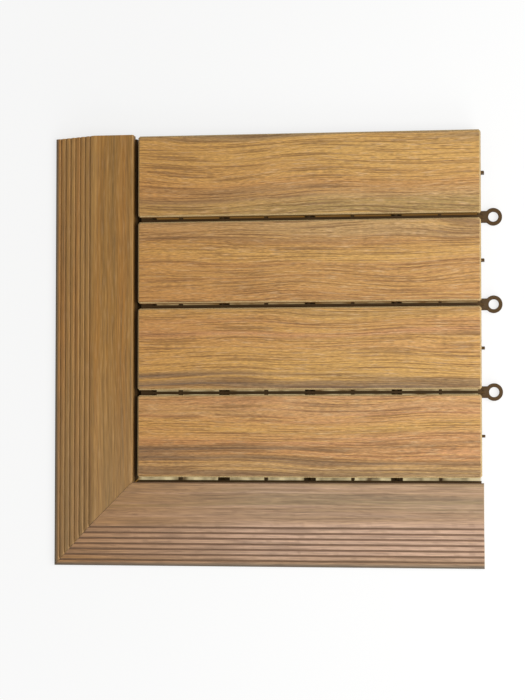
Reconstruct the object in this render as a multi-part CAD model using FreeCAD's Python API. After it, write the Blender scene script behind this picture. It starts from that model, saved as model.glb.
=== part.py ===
import FreeCAD, Part
import math
import os
from FreeCAD import Rotation, Vector

# An interlocking deck tile with two edge boards mitred round one of its corners.
# Four composite slats lie on a moulded grid. Eyes on two sides of the grid and pegs under
# the other two lock it to its neighbours, and the edge boards clip on in the same way.
# +X runs along the slats, +Y across them and +Z up. The origin is on the ground under the
# middle of the tile. The edge boards lie along the -X and -Y sides.

# Driving dimensions, in millimetres

# The tile and its slats
module = 300.0  # side of the square that a tile takes up in a deck
slat_count = 4
slat_gap = 4.5  # between two slats, and from the tile to an edge board
slat_thickness = 11.0
slat_chamfer = 1.2  # round the walking face
slat_corner_chamfer = 1.5  # of the four upright corners
relief_count = 2  # grooves in the underside, each side of the screw line
relief_width = 6.0
relief_depth = 1.2
relief_pitch = 13.0

# The moulded grid and the moulded strips under the edge boards
base_height = 11.0  # from the ground to the seat of the slats
foot_height = 2.0  # of the ribs above the ground
rib_thickness = 2.4
base_setback = 0.75  # of the outer rib from the slats' ends, out of sight
base_corner_chamfer = 2.5
foot_width = 9.0
boss_width = 11.0
screw_hole_clearance = 0.3

# Eyes and pegs
peg_radius = 4.0
peg_root_radius = 4.8  # above the eye, where the peg joins the ribs
eye_clearance = 0.3  # all round a peg
eye_wall = 3.2
eye_thickness = 3.4
eye_lift = 0.8  # of the eye and the peg's tip above the ground
eye_offset = 8.0  # from the joint between two tiles to the middle of the eye
tongue_width = 10.0
gusset_reach = 3.4
gusset_height = 4.5
notch_clearance = 0.6  # over the eye, in the ribs that it slides under
notch_side_clearance = 1.5

# Edge boards
board_width = 73.0
band_width = 34.0  # the flat part, level with the slats
board_end_gap = 0.75  # from the free end to the joint between two tiles
board_chamfer = 1.2
nose_height = 4.5  # of the upright outer edge
nose_width = 5.2  # from the last groove to the outer edge
groove_count = 7
groove_width = 2.3
groove_floor = 1.2
groove_depth = 1.3
leg_width = 15.0  # that the ramp stands on
mitre_gap = 0.3

# Strips under the edge boards
strip_inset = 0.6  # of the strip's inner rib, which shows in the gap, from the joint to the tile
strip_width = 42.4
stop_clearance = 0.2  # from the stops on the grid's edge to the strip's inner rib
strip_screw_line = 22.0  # from the inner edge of the board
strip_mitre_gap = 2.0
ramp_clearance = 2.5  # between the strip and the hollow of the ramp

# Pan-head screws, drawn with flat sides, as their holes are, because there are many small ones
screw_radius = 1.6
screw_head_radius = 3.2
screw_head_height = 1.5
screw_length = 16.0
screw_point = 2.5
screw_point_radius = 0.3
screw_sides = 8
pilot_clearance = 0.05
pilot_depth = 7.5

# Places and sizes that follow
half_module = module / 2
slat_pitch = module / slat_count
slat_width = slat_pitch - slat_gap
slat_length = module - slat_gap
slat_lines = [half_module - (i + 0.5) * slat_pitch for i in range(slat_count)]
top_height = base_height + slat_thickness
rib_pitch = slat_pitch / 2
rib_lines = [i * rib_pitch - half_module for i in range(1, 2 * slat_count)]
gap_lines = [i * slat_pitch - half_module for i in range(1, slat_count)]
screw_lines = [rib_pitch - half_module, half_module - rib_pitch]
base_inset = slat_gap / 2 + base_setback
base_half = half_module - base_inset
foot_edge = base_half - foot_width / 2
eye_radius = peg_radius + eye_clearance
eye_outer_radius = eye_radius + eye_wall
notch_top = eye_lift + eye_thickness + notch_clearance
notch_half_width = eye_outer_radius + notch_side_clearance
board_inner = half_module + slat_gap / 2
strip_inner = half_module + strip_inset
strip_outer = strip_inner + strip_width
hollow_width = strip_outer - board_inner + ramp_clearance
strip_screw_place = board_inner + strip_screw_line
rib_height = base_height - foot_height


def box(low, high):
    """A box between two corners."""
    size = Vector(*high) - Vector(*low)
    return Part.makeBox(size.x, size.y, size.z, Vector(*low))


def post(x, y, low, high, radius):
    """An upright cylinder."""
    return Part.makeCylinder(radius, high - low, Vector(x, y, low))


def flat_face(corners):
    """A flat face with the given corners."""
    return Part.Face(Part.makePolygon(corners + corners[:1]))


def prism(points, push):
    """A flat outline through the points, pushed along a vector."""
    return flat_face([Vector(*p) for p in points]).extrude(Vector(*push))


def upright_edges(body):
    """The upright edges of a block."""
    return [e for e in body.Edges if abs(e.tangentAt(0).z) > 0.5]


def rim_edges(body, height):
    """The edges that lie at one height."""
    return [e for e in body.Edges if all(abs(v.Z - height) < 1e-6 for v in e.Vertexes)]


def joined(first, others):
    """One solid from several that overlap."""
    return first.multiFuse(others).removeSplitter()


def at_side(shape, x, y, turn):
    """A joint feature, modelled about the origin with its eye towards +X, put in its place."""
    moved = shape.copy()
    moved.Placement = FreeCAD.Placement(Vector(x, y, 0), Rotation(Vector(0, 0, 1), turn))
    return moved


def eye(inset):
    """A flat eye on a tongue, with a gusset, on a rib that is set back from the joint at X = 0."""
    top = eye_lift + eye_thickness
    root = -inset - rib_thickness / 2
    half = tongue_width / 2
    tongue = box((root, -half, eye_lift), (eye_offset, half, top))
    gusset = prism(
        [
            (root, -rib_thickness / 2, top),
            (gusset_reach - inset, -rib_thickness / 2, top),
            (-inset, -rib_thickness / 2, top + gusset_height),
            (root, -rib_thickness / 2, top + gusset_height),
        ],
        (0, rib_thickness, 0),
    )
    ring = post(eye_offset, 0, eye_lift, top, eye_outer_radius)
    return joined(ring, [tongue, gusset]).cut(post(eye_offset, 0, 0, base_height, eye_radius))


def peg():
    """A peg that drops through an eye, and its wider root among the ribs."""
    root = post(eye_offset, 0, notch_top, base_height, peg_root_radius)
    return joined(root, [post(eye_offset, 0, eye_lift, base_height, peg_radius)])


def notch():
    """The space under the ribs that an eye slides into."""
    reach = eye_offset + notch_half_width
    return box((0, -notch_half_width, 0), (reach, notch_half_width, notch_top))


def stop():
    """A stub of a rib that stands out from the grid's edge, past the joint at X = 0."""
    half = rib_thickness / 2
    reach = strip_inset - stop_clearance
    return box((-base_inset - half, -half, foot_height), (reach, half, base_height))


def square_post(x, y, low, high, width):
    """An upright square post."""
    half = width / 2
    return box((x - half, y - half, low), (x + half, y + half, high))


def boss(x, y):
    """A post at a crossing of two ribs that takes a screw."""
    return square_post(x, y, foot_height, base_height, boss_width)


def screw_section(x, y, height, radius):
    """The corners of a screw, or of its hole, at one height."""
    turns = [2 * math.pi * i / screw_sides for i in range(screw_sides)]
    return [Vector(x + radius * math.cos(t), y + radius * math.sin(t), height) for t in turns]


def screw_hole(x, y, low, high, radius):
    """An upright hole that a screw goes into."""
    return prism(screw_section(x, y, low, radius), (0, 0, high - low))


def boss_hole(x, y):
    """The screw's hole through a boss."""
    return screw_hole(x, y, foot_height, base_height, screw_radius + screw_hole_clearance)


def pilot(x, y):
    """The hole that a screw cuts its thread in."""
    top = base_height + pilot_depth
    return screw_hole(x, y, base_height, top, screw_radius + pilot_clearance)


def foot(x, y):
    """A square foot under a rib."""
    return square_post(x, y, 0, foot_height, foot_width)


def screw(x, y):
    """A pan-head screw, driven in from below."""
    tip = foot_height + screw_length
    sections = [
        (foot_height - screw_head_height, screw_head_radius),
        (foot_height, screw_head_radius),
        (foot_height, screw_radius),
        (tip - screw_point, screw_radius),
        (tip, screw_point_radius),
    ]
    rings = [screw_section(x, y, height, radius) for height, radius in sections]
    faces = [flat_face(rings[0]), flat_face(rings[-1])]
    for low, high in zip(rings, rings[1:]):
        for i in range(screw_sides):
            faces.append(flat_face([low[i - 1], low[i], high[i], high[i - 1]]))
    return Part.makeSolid(Part.makeShell(faces))


def base_grid():
    """The moulded grid, with eyes on the +X and -Y sides and pegs on the -X and +Y sides."""
    body = box((-base_half, -base_half, foot_height), (base_half, base_half, base_height))
    body = body.makeChamfer(base_corner_chamfer, upright_edges(body))
    half_rib = rib_thickness / 2
    lines = [half_rib - base_half] + rib_lines + [base_half - half_rib]
    cells = [
        box((x0 + half_rib, y0 + half_rib, 0), (x1 - half_rib, y1 - half_rib, top_height))
        for x0, x1 in zip(lines, lines[1:])
        for y0, y1 in zip(lines, lines[1:])
    ]
    peg_sides = [(-half_module, s, 0) for s in gap_lines]
    peg_sides += [(s, half_module, -90) for s in gap_lines]
    eye_sides = [(half_module, s, 0) for s in gap_lines]
    eye_sides += [(s, -half_module, -90) for s in gap_lines]
    body = body.cut(cells + [at_side(notch(), *side) for side in peg_sides])
    screw_places = [(x, y) for x in screw_lines for y in slat_lines]
    added = [at_side(peg(), *side) for side in peg_sides]
    added += [at_side(eye(base_inset), *side) for side in eye_sides]
    for s in slat_lines:
        added += [at_side(stop(), half_module, s, 0), at_side(stop(), s, -half_module, -90)]
    added += [boss(x, y) for x, y in screw_places]
    added += [foot(x, y) for x in gap_lines for y in gap_lines]
    for end in (-foot_edge, foot_edge):
        added += [foot(end, s) for s in slat_lines] + [foot(s, end) for s in slat_lines]
    return joined(body, added).cut([boss_hole(x, y) for x, y in screw_places])


def slat(line):
    """A composite slat along X, grooved underneath and drilled for its screws."""
    low = (-slat_length / 2, line - slat_width / 2, base_height)
    high = (slat_length / 2, line + slat_width / 2, top_height)
    body = box(low, high)
    body = body.makeChamfer(slat_corner_chamfer, upright_edges(body))
    body = body.makeChamfer(slat_chamfer, rim_edges(body, top_height))
    reliefs = []
    for side in (-1, 1):
        for i in range(relief_count):
            y = line + side * (i + 1) * relief_pitch
            reliefs.append(
                box(
                    (-module, y - relief_width / 2, 0),
                    (module, y + relief_width / 2, base_height + relief_depth),
                )
            )
    return body.cut(reliefs + [pilot(x, line) for x in screw_lines])


def ramp_points():
    """The outline of the ramp from the flat band to the outer edge, as (distance out, height)."""
    run = board_width - band_width
    drop = top_height - nose_height
    length = math.hypot(run, drop)
    along = (run / length, -drop / length)
    inward = (-drop / length, -run / length)
    pitch = (run - nose_width) / groove_count * length / run

    def on_ramp(distance, depth):
        return (
            band_width + distance * along[0] + depth * inward[0],
            top_height + distance * along[1] + depth * inward[1],
        )

    points = [on_ramp(0, 0)]
    for i in range(1, groove_count + 1):
        middle = i * pitch
        points += [
            on_ramp(middle - groove_width / 2, 0),
            on_ramp(middle - groove_floor / 2, groove_depth),
            on_ramp(middle + groove_floor / 2, groove_depth),
            on_ramp(middle + groove_width / 2, 0),
        ]
    return points + [on_ramp(length, 0)]


def mitre_waste(gap):
    """What lies past the mitre of a piece on the -Y side, set back by half a gap."""
    back = gap / math.sqrt(2)
    far = module * 2
    corners = [(back - far, -far, 0), (back + far, far, 0), (back - far, far, 0)]
    return prism(corners, (0, 0, top_height))


def edge_board():
    """The edge board of the -Y side: a flat band, a grooved ramp and a mitred end."""
    outline = [(0, base_height), (0, top_height - board_chamfer), (board_chamfer, top_height)]
    outline += ramp_points()
    outline += [(board_width, 0), (board_width - leg_width, 0), (hollow_width, base_height)]
    end = half_module - board_end_gap
    start = -board_inner - board_width
    body = prism([(start, -board_inner - u, z) for u, z in outline], (end - start, 0, 0))
    pilots = [pilot(x, -strip_screw_place) for x in screw_lines]
    return body.cut([mitre_waste(mitre_gap)] + pilots)


def edge_strip(features, turn, with_notches):
    """The moulded strip under the -Y edge board, with eyes or pegs towards the tile."""
    ends = (-strip_outer, base_half)
    sides = (-strip_outer, -strip_inner)
    block = box((ends[0], sides[0], foot_height), (ends[1], sides[1], base_height))
    block = block.cut(mitre_waste(strip_mitre_gap))
    outline = next(f for f in block.Faces if abs(f.CenterOfMass.z - base_height) < 1e-6)
    hollow = outline.makeOffset2D(-rib_thickness, join=2).extrude(Vector(0, 0, -rib_height))
    half_rib = rib_thickness / 2
    line = -strip_screw_place
    ribs = [box((ends[0], line - half_rib, 0), (ends[1], line + half_rib, top_height))]
    for x in [-half_module] + rib_lines:
        ribs.append(box((x - half_rib, sides[0], 0), (x + half_rib, sides[1], top_height)))
    body = block.cut(hollow.cut(ribs))
    if with_notches:
        body = body.cut([at_side(notch(), s, -half_module, -90) for s in gap_lines])
    added = [at_side(features, s, -half_module, turn) for s in gap_lines]
    added += [boss(x, line) for x in screw_lines]
    added += [foot(x, line) for x in [-half_module] + gap_lines + [foot_edge]]
    return joined(body, added).cut([boss_hole(x, line) for x in screw_lines])


def swapped(shape):
    """A piece of the -Y side as it is on the -X side."""
    return shape.mirror(Vector(0, 0, 0), Vector(1, -1, 0))


def parts():
    """Each piece by its name."""
    pieces = {"base_grid": base_grid()}
    for number, line in enumerate(slat_lines, 1):
        pieces[f"slat_{number}"] = slat(line)
        for side, x in zip(("left", "right"), screw_lines):
            pieces[f"slat_{number}_screw_{side}"] = screw(x, line)
    pieces["edge_board_front"] = edge_board()
    pieces["edge_board_left"] = swapped(edge_board())
    pieces["edge_strip_front"] = edge_strip(peg(), -90, True)
    pieces["edge_strip_left"] = swapped(edge_strip(eye(strip_inset), 90, False))
    for number, place in enumerate(screw_lines, 1):
        pieces[f"edge_screw_front_{number}"] = screw(place, -strip_screw_place)
        pieces[f"edge_screw_left_{number}"] = screw(-strip_screw_place, place)
    return pieces


os.makedirs("parts", exist_ok=True)
for name, shape in parts().items():
    shape.exportStep(f"parts/{name}.step")
    print(name, len(shape.Solids), shape.isValid(), round(shape.Volume))
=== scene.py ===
"""Looks of an interlocking composite deck tile with two mitred edge boards.

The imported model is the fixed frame, in metres, with +Z up. The slats, the edge boards and the
screws are rebuilt here with their real surfaces: pressed grain, rounded ribs, saw cuts, threads
and recesses. The moulded grid and strips keep the form of their solids, with rounded edges.
Shapes are built in millimetres and turned to metres when a piece is finished.
"""

import logging
import math
from collections.abc import Iterable, Sequence
from dataclasses import dataclass, field
from enum import Enum
from typing import TypeVar

import bmesh
import bpy
from mathutils import Matrix, Vector, noise


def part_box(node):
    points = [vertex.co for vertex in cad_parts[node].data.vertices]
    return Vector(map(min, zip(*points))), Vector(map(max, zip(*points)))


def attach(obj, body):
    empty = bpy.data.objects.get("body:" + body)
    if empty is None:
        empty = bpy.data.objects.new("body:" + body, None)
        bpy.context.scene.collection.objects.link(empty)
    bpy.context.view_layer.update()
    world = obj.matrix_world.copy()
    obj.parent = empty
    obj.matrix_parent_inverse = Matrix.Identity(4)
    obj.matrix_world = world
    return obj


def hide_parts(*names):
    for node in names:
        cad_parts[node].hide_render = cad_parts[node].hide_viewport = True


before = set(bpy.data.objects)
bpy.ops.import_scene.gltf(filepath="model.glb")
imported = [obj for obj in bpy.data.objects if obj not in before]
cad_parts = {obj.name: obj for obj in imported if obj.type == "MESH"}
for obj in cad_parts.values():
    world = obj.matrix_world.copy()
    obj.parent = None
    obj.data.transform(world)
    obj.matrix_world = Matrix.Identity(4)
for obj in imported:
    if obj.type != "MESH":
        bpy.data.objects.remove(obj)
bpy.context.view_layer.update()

LOG = logging.getLogger("deck_tile")

Part = TypeVar("Part")

METRE = 1000.0
"""Millimetres in a metre."""

BODY = "root"
"""The one body that every piece rides on."""

TINY = 1e-4
"""A distance under which two places are the same, in millimetres."""

PATTERN_STEP = 1000.0
"""How far apart the pieces lie in the streaked pattern, in millimetres, so that no two match."""

PATTERN_SKEW = 1.7
"""How much further across than along the parts of a pattern lie from each other."""

WHOLE = (0.0, 1.0)
"""The whole span of a share."""

WHITE = "#FFFFFF"
"""The white of the room and its light."""

COMPOSITE_IOR = 1.48
"""How strongly the composite's plastic bends light."""

SHOWN = 0.05
"""The upward share of a normal over which a face is seen from above."""

UPRIGHT = 0.1
"""The upward share of a normal under which a face stands upright."""

LEVEL = 0.9
"""The upward or downward share of a normal over which a face lies level."""

FLAT = 0.99
"""The upward share of a normal over which a face has no slope at all."""

MAINLY = 0.5
"""The share of a normal along a direction over which a face looks mainly that way."""

CLEAR = 1.0
"""A distance that is well clear of a boundary, in millimetres."""

BELOW = 6
"""The number of a Mix node's first colour, which lies below the other."""

ABOVE = 7
"""The number of a Mix node's second colour."""

MIXED = 2
"""The number of the output on which a Mix node gives a colour."""


class Axis(Enum):
    """The directions that a mesh is cut across."""

    ALONG = 0
    ACROSS = 1


class Skin(Enum):
    """Which finish a face of a composite piece has, as its material's number."""

    PRESSED = 0
    SAWN = 1


class Weave(Enum):
    """The patterns of a streaked composite, by the part of the noise that each is cut from."""

    DRIFT = 3.0
    STREAK = 11.0
    CLOUD = 19.0
    FIBRE = 29.0
    FLECK = 37.0


class Press(Enum):
    """The patterns of a pressed grain, by the part of the noise that each is cut from."""

    RIPPLE = 5.0
    LINE = 11.0
    PORE = 23.0
    PATCH = 31.0


class Side(Enum):
    """The side of the tile that an edge board lies on."""

    FRONT = "front"
    LEFT = "left"


class Pigment(Enum):
    """Tones that run as streaks through the composite, as sRGB hex values."""

    GOLD = "#DEAC5E"
    HONEY = "#D7A25B"
    AMBER = "#D19A58"
    TEAK = "#C79254"
    ROSE = "#D59B66"
    SAND = "#C9A067"
    OLIVE = "#B49357"
    SMOKE = "#A08054"
    COPPER = "#D08A3A"
    NUT = "#88643C"
    ASH = "#765E48"
    UMBER = "#704A22"
    BROWN = "#A9742E"
    TAWNY = "#BA813E"
    MOSS = "#9B7030"
    BARK = "#6B5430"
    WHEAT = "#BF8F4C"
    BLUSH = "#B6926F"
    TAUPE = "#A08763"
    FAWN = "#B3966B"
    PEACH = "#D4AE92"
    SLATE = "#83705A"
    CLAY = "#775A42"
    CREAM = "#BFA474"
    CORE = "#A58858"
    STRAW = "#E2B986"
    # A painted shade for the outer nose of the edge boards.
    NOSE_SHADE = "#5E5648"


def linear(colour: str) -> tuple[float, float, float, float]:
    """Turns an sRGB hex value to linear light.

    Args:
        colour: Six hex digits after a hash sign.

    Returns:
        Red, green and blue from 0 to 1, and an alpha of 1.
    """
    shares = [int(colour[i : i + 2], 16) / 255 for i in (1, 3, 5)]
    lit = [c / 12.92 if c <= 0.04045 else ((c + 0.055) / 1.055) ** 2.4 for c in shares]
    return (lit[0], lit[1], lit[2], 1.0)


def eased(value: float, low: float, high: float) -> float:
    """Rises smoothly from 0 at low to 1 at high."""
    share = min(max((value - low) / (high - low), 0.0), 1.0)
    return share * share * (3 - 2 * share)


def add_node(
    tree: bpy.types.NodeTree,
    kind: str,
    settings: dict[str, object] | None = None,
    sockets: dict[str | int, object] | None = None,
    stops: Sequence[tuple[float, str]] = (),
) -> bpy.types.Node:
    """Adds a shader node with its settings and what comes into it.

    Args:
        tree: The node tree that it joins.
        kind: The node's type, without the word ShaderNode.
        settings: The node's own properties.
        sockets: For each input, a value or the output that it is linked from.
        stops: The places and sRGB colours of a ramp.

    Returns:
        The new node.
    """
    node = tree.nodes.new(f"ShaderNode{kind}")
    for name, value in (settings or {}).items():
        setattr(node, name, value)
    for key, value in (sockets or {}).items():
        if isinstance(value, bpy.types.NodeSocket):
            tree.links.new(value, node.inputs[key])
        else:
            node.inputs[key].default_value = value
    for number, (place, colour) in enumerate(stops):
        elements = node.color_ramp.elements
        stop = elements[number] if number < 2 else elements.new(place)
        stop.position = place
        stop.color = linear(colour)
    return node


def new_material(name: str) -> bpy.types.Material:
    """Starts a material.

    Args:
        name: The material's name.

    Returns:
        The material, with an empty node tree.
    """
    material = bpy.data.materials.new(name)
    material.use_nodes = True
    material.node_tree.nodes.clear()
    return material


def cad_corners(node: str) -> tuple[Vector, Vector]:
    """The lowest and highest corners of a node of the frame, in millimetres."""
    low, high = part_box(node)
    return low * METRE, high * METRE


def only(parts: Iterable[object], kind: type[Part]) -> list[Part]:
    """Those of a mesh's parts that are of one kind."""
    return [part for part in parts if isinstance(part, kind)]


def cut_across(
    mesh: bmesh.types.BMesh,
    faces: Iterable[bmesh.types.BMFace],
    axis: Axis,
    places: Iterable[float],
) -> None:
    """Cuts faces with parallel planes, from the lowest place up.

    Each cut meets only what lies past the one before, so hundreds of cuts stay quick.

    Args:
        mesh: The mesh that holds the faces.
        faces: The faces to cut.
        axis: The direction that the planes stand across.
        places: Where the planes stand, in rising order.
    """
    normal = Vector((0, 0, 0))
    normal[axis.value] = 1
    ahead = list(faces)
    for place in places:
        edges = {edge for face in ahead for edge in face.edges}
        verts = {vert for face in ahead for vert in face.verts}
        cut = bmesh.ops.bisect_plane(
            mesh,
            geom=[*verts, *edges, *ahead],
            dist=TINY,
            plane_co=normal * place,
            plane_no=normal,
        )
        found = only(cut["geom"], bmesh.types.BMFace)
        ahead = [face for face in found if face.calc_center_median()[axis.value] > place]


def evenly(low: float, high: float, step: float) -> list[float]:
    """Places between two ends, about a step apart and evenly spread."""
    count = max(1, round((high - low) / step))
    return [low + (high - low) * i / count for i in range(1, count)]


def extruded(section: Sequence[Vector], push: Vector) -> bmesh.types.BMesh:
    """Draws a flat outline out to a closed solid.

    Args:
        section: The corners of the outline.
        push: How far the outline is drawn out.

    Returns:
        A mesh whose faces point outwards.
    """
    mesh = bmesh.new()
    first = mesh.faces.new([mesh.verts.new(place) for place in section])
    made = bmesh.ops.extrude_face_region(mesh, geom=[first], use_keep_orig=True)
    bmesh.ops.translate(mesh, verts=only(made["geom"], bmesh.types.BMVert), vec=push)
    bmesh.ops.recalc_face_normals(mesh, faces=mesh.faces)
    return mesh


def chamfered(
    mesh: bmesh.types.BMesh,
    edges: list[bmesh.types.BMEdge],
    width: float,
    segments: int = 1,
    clamp: bool = True,
) -> None:
    """Cuts or rounds edges by a width along both of their faces.

    Args:
        mesh: The mesh that holds the edges.
        edges: The edges to take off.
        width: How far each cut reaches along the faces, in millimetres.
        segments: How many flat strips it has; one is a chamfer and more are a rounding.
        clamp: Whether the width shrinks where two cuts would meet.
    """
    bmesh.ops.bevel(
        mesh,
        geom=edges,
        offset=width,
        offset_type="OFFSET",
        segments=segments,
        profile=0.5,
        affect="EDGES",
        material=-1,
        clamp_overlap=clamp,
    )


def sink_pocket(
    mesh: bmesh.types.BMesh,
    mouth: Iterable[bmesh.types.BMEdge],
    depth: float,
    taper: float = 1.0,
) -> None:
    """Sinks a pocket up from a flat underside and closes its floor.

    Args:
        mesh: The mesh that holds the edges.
        mouth: The edges round the pocket's mouth.
        depth: How far up the pocket goes.
        taper: The size of its floor for a mouth of 1, measured from the origin.
    """
    walls = bmesh.ops.extrude_edge_only(mesh, edges=list(mouth))
    verts = only(walls["geom"], bmesh.types.BMVert)
    bmesh.ops.scale(mesh, vec=Vector((taper, taper, 1)), verts=verts)
    bmesh.ops.translate(mesh, vec=Vector((0, 0, depth)), verts=verts)
    edges = only(walls["geom"], bmesh.types.BMEdge)
    bmesh.ops.edgeloop_fill(mesh, edges=[edge for edge in edges if edge.is_boundary])


@dataclass(frozen=True)
class PilotHole:
    """A blind hole that a screw is driven up into, in millimetres."""

    radius: float = 1.65
    depth: float = 7.5
    sides: int = 16

    def drill(
        self, mesh: bmesh.types.BMesh, face: bmesh.types.BMFace, places: Sequence[Vector]
    ) -> None:
        """Drills the hole at some places of a flat underside.

        Args:
            mesh: The mesh that holds the face.
            face: The flat face, which looks down.
            places: The middle of each hole on the face.
        """
        outline = list(face.edges)
        bmesh.ops.delete(mesh, geom=[face], context="FACES_ONLY")
        rings = []
        for place in places:
            circle = bmesh.ops.create_circle(
                mesh,
                cap_ends=False,
                radius=self.radius,
                segments=self.sides,
                matrix=Matrix.Translation(place),
            )
            ring = {edge for vert in circle["verts"] for edge in vert.link_edges}
            rings.append(ring)
            outline += ring
        bmesh.ops.triangle_fill(mesh, use_beauty=True, edges=outline)
        for ring in rings:
            sink_pocket(mesh, ring, self.depth)
        bmesh.ops.recalc_face_normals(mesh, faces=mesh.faces)


def soften(mesh: bmesh.types.BMesh, sharp_angle: float) -> None:
    """Shades all faces smooth and keeps the sharp edges sharp.

    Args:
        mesh: The mesh to shade.
        sharp_angle: The turn over which an edge is sharp, in degrees.
    """
    limit = math.radians(sharp_angle)
    for face in mesh.faces:
        face.smooth = True
    for edge in mesh.edges:
        edge.smooth = edge.is_manifold and edge.calc_face_angle() < limit


def finished(
    mesh: bmesh.types.BMesh,
    name: str,
    node: str,
    materials: Sequence[bpy.types.Material],
) -> bpy.types.Object:
    """Turns a mesh in millimetres to a piece that stands for a node of the frame.

    Args:
        mesh: The shape, which is freed.
        name: The piece's name.
        node: The node that the piece replaces.
        materials: The finishes, by material number.

    Returns:
        The piece, riding on its body.
    """
    bmesh.ops.scale(mesh, vec=Vector((1, 1, 1)) / METRE, verts=mesh.verts)
    data = bpy.data.meshes.new(name)
    mesh.to_mesh(data)
    mesh.free()
    for material in materials:
        data.materials.append(material)
    piece = bpy.data.objects.new(name, data)
    bpy.context.scene.collection.objects.link(piece)
    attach(piece, BODY)
    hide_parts(node)
    return piece


@dataclass(frozen=True)
class Tint:
    """A pigment that is laid over the colours below it where a pattern is strong."""

    pattern: bpy.types.NodeSocket
    span: tuple[float, float]
    share: float
    pigment: Pigment

    def over(self, tree: bpy.types.NodeTree, below: bpy.types.NodeSocket) -> bpy.types.NodeSocket:
        """Adds the nodes that lay the pigment over a colour.

        Args:
            tree: The material's node tree.
            below: The colour so far.

        Returns:
            The new colour.
        """
        cover = add_node(
            tree,
            "MapRange",
            sockets={
                "Value": self.pattern,
                "From Min": self.span[0],
                "From Max": self.span[1],
                "To Max": self.share,
            },
        )
        mixed = add_node(
            tree,
            "Mix",
            {"data_type": "RGBA"},
            {0: cover.outputs[0], BELOW: below, ABOVE: linear(self.pigment.value)},
        )
        return mixed.outputs[MIXED]


@dataclass(frozen=True)
class SmokyBand:
    """A band of dark lines that runs in from the left end of a piece and fades away.

    Its place and half width are shares of the piece's width, and its reach is in millimetres.
    It is darkest over the core's share of the half width and the full reach's share of the
    reach, and its lines set in over a span of the streaks.
    """

    place: float
    half_width: float
    reach: float
    pigment: Pigment = Pigment.ASH
    share: float = 0.85
    core: float = 0.35
    full_reach: float = 0.4
    line_span: tuple[float, float] = (0.1, 0.5)

    def cover(
        self,
        tree: bpy.types.NodeTree,
        across: bpy.types.NodeSocket,
        along: bpy.types.NodeSocket,
        start: float,
        streak: bpy.types.NodeSocket,
    ) -> bpy.types.NodeSocket:
        """Adds the nodes that say how far the band covers a place.

        Args:
            tree: The material's node tree.
            across: The place across the piece, from 0 to 1.
            along: The place along the pattern, in millimetres.
            start: Where along the pattern the left end lies.
            streak: The pattern that breaks the band into lines.

        Returns:
            The band's cover, from 0 to its share.
        """
        away = add_node(tree, "Math", {"operation": "SUBTRACT"}, {0: across, 1: self.place})
        away = add_node(tree, "Math", {"operation": "ABSOLUTE"}, {0: away.outputs[0]})
        fades = [
            (away.outputs[0], self.half_width, self.core * self.half_width),
            (along, start + self.reach, start + self.full_reach * self.reach),
            (streak, *self.line_span),
        ]
        cover: float | bpy.types.NodeSocket = self.share
        for value, low, high in fades:
            fade = add_node(
                tree, "MapRange", sockets={"Value": value, "From Min": low, "From Max": high}
            )
            faded = add_node(
                tree, "Math", {"operation": "MULTIPLY"}, {0: cover, 1: fade.outputs[0]}
            )
            cover = faded.outputs[0]
        return cover


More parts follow.
